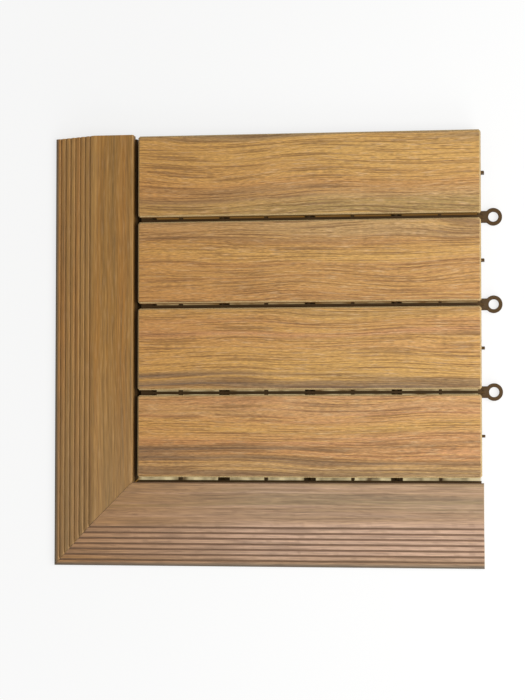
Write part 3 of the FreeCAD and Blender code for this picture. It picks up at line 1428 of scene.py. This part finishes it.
@dataclass
class Screw:
    """A pan-head screw with a cross recess and a rolled thread, driven in from below.

    Sizes are in millimetres, and the thread's half root is a share of its pitch. The screw is
    made with the middle of its head's face at the origin and is then moved to its place.
    """

    node: str
    face_radius: float = 2.3
    rim_height: float = 0.8
    rim_steps: int = 4
    head_height: float = 1.5
    core_radius: float = 1.25
    point_length: float = 2.5
    thread_pitch: float = 1.3
    thread_start: float = 3.0
    thread_half_root: float = 0.3
    thread_half_crest: float = 0.05
    thread_sink: float = 0.1
    recess_reach: float = 1.55
    recess_width: float = 0.46
    recess_depth: float = 1.1
    recess_taper: float = 0.5
    sides: int = 24
    sharp_angle: float = 35.0

    def __post_init__(self) -> None:
        """Takes the screw's place and sizes from the frame."""
        self.low, self.high = cad_corners(self.node)
        self.middle = (self.low + self.high) / 2
        self.length = self.high.z - self.low.z
        self.head_radius = (self.high.x - self.low.x) / 2

    def profile(self) -> list[Vector]:
        """Draws half of the section, from the rim of the head's face to the point.

        Returns:
            The corners of the section.
        """
        rim = self.head_radius - self.face_radius
        turns = [math.pi / 2 * i / self.rim_steps for i in range(self.rim_steps + 1)]
        points = [
            (self.face_radius + rim * math.sin(t), self.rim_height * (1 - math.cos(t)))
            for t in turns
        ]
        points += [
            (self.head_radius, self.head_height),
            (self.core_radius, self.head_height),
            (self.core_radius, self.length - self.point_length),
            (0.0, self.length),
        ]
        return [Vector((radius, 0, height)) for radius, height in points]

    def recess(self) -> list[Vector]:
        """Draws the cross in the head's face.

        Returns:
            The corners of the cross.
        """
        far, near = self.recess_reach, self.recess_width
        quarter = [(far, -near), (far, near), (near, near)]
        turns = [Matrix.Rotation(math.pi / 2 * i, 3, "Z") for i in range(4)]
        return [turn @ Vector((x, y, 0)) for turn in turns for x, y in quarter]

    def body(self) -> bmesh.types.BMesh:
        """Makes the head and core, with the recess.

        Returns:
            The screw without its thread.
        """
        mesh = bmesh.new()
        chain = [mesh.verts.new(place) for place in self.profile()]
        edges = [mesh.edges.new(pair) for pair in zip(chain, chain[1:])]
        bmesh.ops.spin(
            mesh,
            geom=[*chain, *edges],
            cent=Vector((0, 0, 0)),
            axis=Vector((0, 0, 1)),
            angle=2 * math.pi,
            steps=self.sides,
            use_merge=True,
        )
        bmesh.ops.remove_doubles(mesh, verts=mesh.verts, dist=TINY)
        rim = [edge for edge in mesh.edges if edge.is_boundary]
        cross = [mesh.verts.new(place) for place in self.recess()]
        outline = [mesh.edges.new(pair) for pair in zip(cross, cross[1:] + cross[:1])]
        bmesh.ops.triangle_fill(mesh, use_beauty=True, edges=rim + outline)
        sink_pocket(mesh, outline, self.recess_depth, self.recess_taper)
        bmesh.ops.recalc_face_normals(mesh, faces=mesh.faces)
        return mesh

    def add_thread(self, mesh: bmesh.types.BMesh) -> None:
        """Winds the thread round the core.

        Args:
            mesh: The screw's body, which the thread is added to.
        """
        outer = self.head_radius / 2
        inside = self.core_radius - self.thread_sink
        root = self.thread_half_root * self.thread_pitch
        crest = self.thread_half_crest
        corners = [(inside, -root), (outer, -crest), (outer, crest), (inside, root)]
        end = [mesh.verts.new((r, 0, self.thread_start + z)) for r, z in corners]
        face = mesh.faces.new(end)
        reach = self.length - self.point_length - self.thread_start - root
        turns = reach / self.thread_pitch
        steps = round(turns * self.sides / 2)
        bmesh.ops.spin(
            mesh,
            geom=[face],
            cent=Vector((0, 0, 0)),
            axis=Vector((0, 0, 1)),
            dvec=Vector((0, 0, reach / steps)),
            angle=2 * math.pi * turns,
            steps=steps,
        )
        bmesh.ops.recalc_face_normals(mesh, faces=mesh.faces)

    def build(self, steel: bpy.types.Material) -> bpy.types.Object:
        """Makes the screw, turned by its place, so that no two recesses lie alike.

        Args:
            steel: Its finish.

        Returns:
            The finished piece.
        """
        mesh = self.body()
        self.add_thread(mesh)
        turn = Matrix.Rotation(self.low.x + self.low.y, 4, "Z")
        place = Matrix.Translation(Vector((self.middle.x, self.middle.y, self.low.z)))
        bmesh.ops.transform(mesh, matrix=place @ turn, verts=mesh.verts)
        soften(mesh, self.sharp_angle)
        return finished(mesh, f"{self.node}_turned", self.node, [steel])


@dataclass
class Moulding:
    """A moulded piece of the frame, with the small roundings that a mould leaves.

    Sizes are in millimetres and degrees. An edge is rounded where it and its neighbours are
    longer than the room, which is given in roundings.
    """

    node: str
    rounding: float = 0.25
    room: float = 2.4
    weld: float = 0.002
    flat_angle: float = 0.5
    rounded_angle: float = 35.0
    sharp_angle: float = 30.0

    def sharp_edges(self, mesh: bmesh.types.BMesh) -> list[bmesh.types.BMEdge]:
        """Finds the sharp edges that have room for the rounding at both ends.

        Args:
            mesh: The moulding, with its flat faces whole.

        Returns:
            The edges.
        """
        room = self.room * self.rounding
        tight = {vert for edge in mesh.edges if edge.calc_length() < room for vert in edge.verts}
        return [
            edge
            for edge in mesh.edges
            if edge.is_manifold
            and edge.calc_face_angle() > math.radians(self.rounded_angle)
            and tight.isdisjoint(edge.verts)
        ]

    def build(self, plastic: bpy.types.Material) -> bpy.types.Object:
        """Makes the moulding from its solid.

        Args:
            plastic: Its finish.

        Returns:
            The finished piece.
        """
        mesh = bmesh.new()
        mesh.from_mesh(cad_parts[self.node].data)
        bmesh.ops.scale(mesh, vec=Vector((METRE, METRE, METRE)), verts=mesh.verts)
        bmesh.ops.remove_doubles(mesh, verts=mesh.verts, dist=self.weld)
        bmesh.ops.dissolve_limit(
            mesh, angle_limit=math.radians(self.flat_angle), verts=mesh.verts, edges=mesh.edges
        )
        chamfered(mesh, self.sharp_edges(mesh), self.rounding, clamp=False)
        bmesh.ops.dissolve_degenerate(mesh, dist=TINY, edges=mesh.edges)
        soften(mesh, self.sharp_angle)
        return finished(mesh, f"{self.node}_moulded", self.node, [plastic])


@dataclass(frozen=True)
class Lamp:
    """A square soft lamp that looks at the tile, with its place and size in metres."""

    name: str
    place: tuple[float, float, float]
    size: float
    watts: float
    colour: str = WHITE

    def build(self, target: Vector) -> None:
        """Hangs the lamp.

        Args:
            target: What it looks at.
        """
        data = bpy.data.lights.new(self.name, "AREA")
        data.shape = "SQUARE"
        data.size = self.size
        data.energy = self.watts
        data.color = linear(self.colour)[:3]
        lamp = bpy.data.objects.new(self.name, data)
        lamp.location = self.place
        lamp.rotation_euler = (target - lamp.location).to_track_quat("-Z", "Y").to_euler()
        bpy.context.scene.collection.objects.link(lamp)


@dataclass
class Studio:
    """A white floor, soft light and a camera that looks almost straight down.

    Sizes are in metres, apart from the patches of painted light on the floor under the deck,
    which are in millimetres. The rim is the strip over which the floor turns white, as distances
    out past the edge of the deck, so that one less than 0 lies under it. Under the deck the floor
    glows with
    painted light and shade: tan patches of painted light in the gaps to the front, and a brown
    painted shade elsewhere.
    """

    floor_size: float = 8.0
    floor_gap: float = 0.0002
    floor_paint: str = "#F4F4F2"
    floor_glow: float = 0.75
    floor_fade: tuple[float, float] = (0.25, 0.9)
    rim: tuple[float, float] = (-0.0022, -0.0004)
    # Under the deck the floor glows in painted light and shade: tan patches in the front gaps,
    # and a brown painted shade elsewhere.
    patch_size: float = 15.0
    painted_light_patch_stops: tuple[tuple[float, str], ...] = ((0.34, "#5E4A2C"), (0.6, "#D4C294"))
    painted_shade_tone: str = "#7C5620"
    under_deck_painted_glow: float = 0.9
    ambient: float = 0.3
    camera_height: float = 1.6
    camera_right: float = 0.22
    camera_front: float = 0.07
    lens: float = 97.0
    lamps: tuple[Lamp, ...] = (
        Lamp("front_right_softbox", (0.75, -1.1, 0.75), size=0.8, watts=8.0),
        Lamp("right_softbox", (0.65, -0.04, 0.75), size=0.6, watts=5.5),
        Lamp("overhead_softbox", (0.45, -0.1, 1.05), size=0.5, watts=2.8),
    )

    def background(self, tree: bpy.types.NodeTree) -> bpy.types.NodeSocket:
        """Adds the test for a ray that shows the surroundings, straight or in a reflection.

        Args:
            tree: The node tree of the floor or the world.

        Returns:
            1 for such a ray and 0 for another.
        """
        path = add_node(tree, "LightPath")
        seen = path.outputs["Is Camera Ray"]
        for kind in ("Is Glossy Ray", "Is Transmission Ray"):
            either = add_node(
                tree, "Math", {"operation": "MAXIMUM"}, {0: seen, 1: path.outputs[kind]}
            )
            seen = either.outputs[0]
        return seen

    def open_share(
        self, tree: bpy.types.NodeTree, place: bpy.types.NodeSocket
    ) -> bpy.types.NodeSocket:
        """Adds the share of open floor.

        Args:
            tree: The floor's node tree.
            place: The place on the floor.

        Returns:
            The share, which rises from 0 under the deck to 1 beside it.
        """
        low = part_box("edge_board_front")[0]
        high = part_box("slat_1")[1]
        centred = add_node(
            tree, "VectorMath", {"operation": "SUBTRACT"}, {0: place, 1: (low + high) / 2}
        )
        reach = add_node(tree, "VectorMath", {"operation": "ABSOLUTE"}, {0: centred.outputs[0]})
        past = add_node(
            tree,
            "VectorMath",
            {"operation": "SUBTRACT"},
            {0: reach.outputs[0], 1: (high - low) / 2},
        )
        sides = add_node(tree, "SeparateXYZ", sockets={0: past.outputs[0]})
        outside = add_node(
            tree, "Math", {"operation": "MAXIMUM"}, {0: sides.outputs[0], 1: sides.outputs[1]}
        )
        share = add_node(
            tree,
            "MapRange",
            sockets={
                "Value": outside.outputs[0],
                "From Min": self.rim[0],
                "From Max": self.rim[1],
            },
        )
        return share.outputs[0]

    def painted_floor_under_deck(
        self, tree: bpy.types.NodeTree, place: bpy.types.NodeSocket
    ) -> bpy.types.NodeSocket:
        """Adds the tone of the floor under the deck, with tan patches in the gaps to the front.

        Args:
            tree: The floor's node tree.
            place: The place on the floor.

        Returns:
            The tone, which loses its patches of painted light to the back and under the left edge
            board, where only the brown painted shade is left.
        """
        patches = add_node(
            tree,
            "TexNoise",
            sockets={"Vector": place, "Scale": METRE / self.patch_size, "Detail": 2.0},
        )
        tan = add_node(
            tree, "ValToRGB", sockets={0: patches.outputs["Fac"]}, stops=self.painted_light_patch_stops
        )
        sides = add_node(tree, "SeparateXYZ", sockets={0: place})
        fades = [
            (sides.outputs[1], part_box("slat_4")[0].y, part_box("slat_1")[0].y),
            (sides.outputs[0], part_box("slat_4")[0].x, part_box("edge_board_left")[1].x),
        ]
        back, left = (
            add_node(tree, "MapRange", sockets={"Value": way, "From Min": start, "From Max": end})
            for way, start, end in fades
        )
        faded = add_node(
            tree, "Math", {"operation": "MAXIMUM"}, {0: back.outputs[0], 1: left.outputs[0]}
        )
        tone = add_node(
            tree,
            "Mix",
            {"data_type": "RGBA"},
            {0: faded.outputs[0], BELOW: tan.outputs[0], ABOVE: linear(self.painted_shade_tone)},
        )
        return tone.outputs[MIXED]

    def glow(self, tree: bpy.types.NodeTree) -> tuple[bpy.types.NodeSocket, bpy.types.NodeSocket]:
        """Adds the floor's glow, which is white in the open and dim under the deck.

        Args:
            tree: The floor's node tree.

        Returns:
            How much the floor glows, and its colour.
        """
        place = add_node(tree, "TexCoord").outputs["Object"]
        share = self.open_share(tree, place)
        colour = add_node(
            tree,
            "Mix",
            {"data_type": "RGBA"},
            {0: share, BELOW: self.painted_floor_under_deck(tree, place), ABOVE: linear(WHITE)},
        )
        far = add_node(tree, "VectorMath", {"operation": "LENGTH"}, {0: place})
        backdrop = add_node(
            tree,
            "MapRange",
            sockets={
                "Value": far.outputs["Value"],
                "From Min": self.floor_fade[0],
                "From Max": self.floor_fade[1],
                "To Min": self.floor_glow,
                "To Max": 1.0,
            },
        )
        # Painted light and shade: under the deck the floor still glows to the camera, in the
        # painted tones.
        amount = add_node(
            tree,
            "MapRange",
            sockets={"Value": share, "To Min": self.under_deck_painted_glow, "To Max": backdrop.outputs[0]},
        )
        return amount.outputs[0], colour.outputs[MIXED]

    def build_world(self) -> None:
        """Makes the even light that comes from all around."""
        world = bpy.data.worlds.new("white_room")
        world.use_nodes = True
        tree = world.node_tree
        tree.nodes.clear()
        strength = add_node(
            tree,
            "MapRange",
            sockets={"Value": self.background(tree), "To Min": self.ambient, "To Max": 1.0},
        )
        light = add_node(tree, "Background", sockets={0: linear(WHITE), 1: strength.outputs[0]})
        add_node(tree, "OutputWorld", sockets={0: light.outputs[0]})
        bpy.context.scene.world = world

    def build_floor(self) -> None:
        """Lays the floor, which is white where the light reaches it and keeps the shadow."""
        mesh = bmesh.new()
        bmesh.ops.create_grid(mesh, x_segments=1, y_segments=1, size=self.floor_size / 2)
        bmesh.ops.translate(mesh, verts=mesh.verts, vec=Vector((0, 0, -self.floor_gap)))
        data = bpy.data.meshes.new("floor")
        mesh.to_mesh(data)
        mesh.free()
        floor = bpy.data.objects.new("floor", data)
        bpy.context.scene.collection.objects.link(floor)
        material = new_material("white_floor")
        tree = material.node_tree
        paint = add_node(tree, "BsdfDiffuse", sockets={0: linear(self.floor_paint)})
        amount, colour = self.glow(tree)
        glow = add_node(tree, "Emission", sockets={0: colour, 1: 1.0})
        share = add_node(
            tree, "Math", {"operation": "MULTIPLY"}, {0: self.background(tree), 1: amount}
        )
        mixed = add_node(
            tree,
            "MixShader",
            sockets={0: share.outputs[0], 1: paint.outputs[0], 2: glow.outputs[0]},
        )
        add_node(tree, "OutputMaterial", sockets={0: mixed.outputs[0]})
        data.materials.append(material)

    def build_camera(self, target: Vector) -> None:
        """Sets up the camera.

        Args:
            target: What is in the middle of the picture.
        """
        data = bpy.data.cameras.new("camera")
        data.lens = self.lens
        camera = bpy.data.objects.new("camera", data)
        stand = Vector((self.camera_right, -self.camera_front, self.camera_height))
        camera.location = target + stand
        back = (camera.location - target).normalized()
        right = Vector((0, 1, 0)).cross(back).normalized()
        up = back.cross(right)
        camera.rotation_euler = Matrix((right, up, back)).transposed().to_euler()
        bpy.context.scene.collection.objects.link(camera)
        bpy.context.scene.camera = camera

    def build(self) -> None:
        """Makes the whole studio."""
        low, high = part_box("edge_board_front")
        slat_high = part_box("slat_1")[1]
        target = Vector(((low.x + slat_high.x) / 2, (low.y + slat_high.y) / 2, high.z))
        self.build_world()
        self.build_floor()
        for lamp in self.lamps:
            lamp.build(target)
        self.build_camera(target)
        bpy.context.scene.view_settings.view_transform = "Standard"


def slats() -> list[Slat]:
    """Lists the slats, from the back to the front, with their tones from front to back.

    Returns:
        The four slats.
    """
    p = Pigment
    tones = [
        (p.OLIVE, p.SAND, p.AMBER, p.HONEY, p.GOLD, p.GOLD, p.SMOKE),
        (p.TEAK, p.AMBER, p.HONEY, p.TEAK, p.GOLD, p.TEAK, p.SAND),
        (p.SMOKE, p.GOLD, p.GOLD, p.HONEY, p.ROSE, p.AMBER, p.GOLD),
        (p.SMOKE, p.SAND, p.TEAK, p.ROSE, p.GOLD, p.ROSE, p.SAND),
    ]
    smoke = [
        (
            SmokyBand(place=0.95, half_width=0.13, reach=800.0, pigment=p.SMOKE, share=0.9),
            SmokyBand(place=0.2, half_width=0.14, reach=170.0, pigment=p.NUT, share=0.5),
        ),
        (SmokyBand(place=0.86, half_width=0.07, reach=190.0, pigment=p.NUT, share=0.6),),
        (SmokyBand(place=0.04, half_width=0.12, reach=420.0),),
        (
            SmokyBand(place=0.31, half_width=0.1, reach=520.0, share=0.75),
            SmokyBand(place=0.05, half_width=0.08, reach=300.0, share=0.45),
        ),
    ]
    looks = enumerate(zip(tones, smoke), 1)
    return [Slat(f"slat_{number}", number, *look) for number, look in looks]


def edge_boards() -> list[EdgeBoard]:
    """Lists the edge boards, with their tones from the inner edge out.

    Returns:
        The front board and the left one.
    """
    p = Pigment
    return [
        EdgeBoard(
            node="edge_board_front",
            side=Side.FRONT,
            number=11,
            # Painted light: the front board's palette is paler, pinker and greyer than the
            # left's, though it is the same composite, as painted sheen of the light from the
            # front, and its ramp tones are paler still, as painted light on the slope that faces
            # the lamps.
            tones=(p.FAWN, p.BLUSH, p.TAUPE, p.BLUSH, p.PEACH, p.PEACH, p.PEACH, p.BLUSH),
            dark=p.SLATE,
            pale=p.PEACH,
            hollow=p.CLAY,
            painted_hollow_share=0.88,
            end=p.BROWN,
            end_share=0.7,
        ),
        EdgeBoard(
            node="edge_board_left",
            side=Side.LEFT,
            number=12,
            # Painted light: the left board's ramp tones are lighter than its band's, to offset
            # the shade of the slope that faces away from the lamps, and its pale hollow tone
            # lightens its shaded grooves.
            tones=(p.MOSS, p.BROWN, p.MOSS, p.BROWN, p.WHEAT, p.TAWNY, p.WHEAT, p.TAWNY),
            dark=p.BARK,
            pale=p.WHEAT,
            hollow=p.WHEAT,
            painted_hollow_share=0.5,
            end=p.TAUPE,
            end_share=0.5,
        ),
    ]


def main() -> None:
    """Builds each piece in turn, then the studio."""
    logging.basicConfig(level=logging.INFO, format="%(name)s: %(message)s")
    sawn = SawnComposite("sawn_composite").make()
    steel = TurnedSteel("rolled_stainless_steel").make()
    plastic = MouldedPolypropylene("moulded_brown_polypropylene").make()
    pieces = [slat.build(sawn) for slat in slats()]
    pieces += [board.build(sawn) for board in edge_boards()]
    pieces += [Screw(node).build(steel) for node in sorted(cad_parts) if "screw" in node]
    mouldings = ("base_grid", "edge_strip_front", "edge_strip_left")
    pieces += [Moulding(node).build(plastic) for node in mouldings]
    for piece in pieces:
        piece.data.calc_loop_triangles()
        LOG.info("%s: %d triangles", piece.name, len(piece.data.loop_triangles))
    Studio().build()


if __name__ == "__main__":
    main()
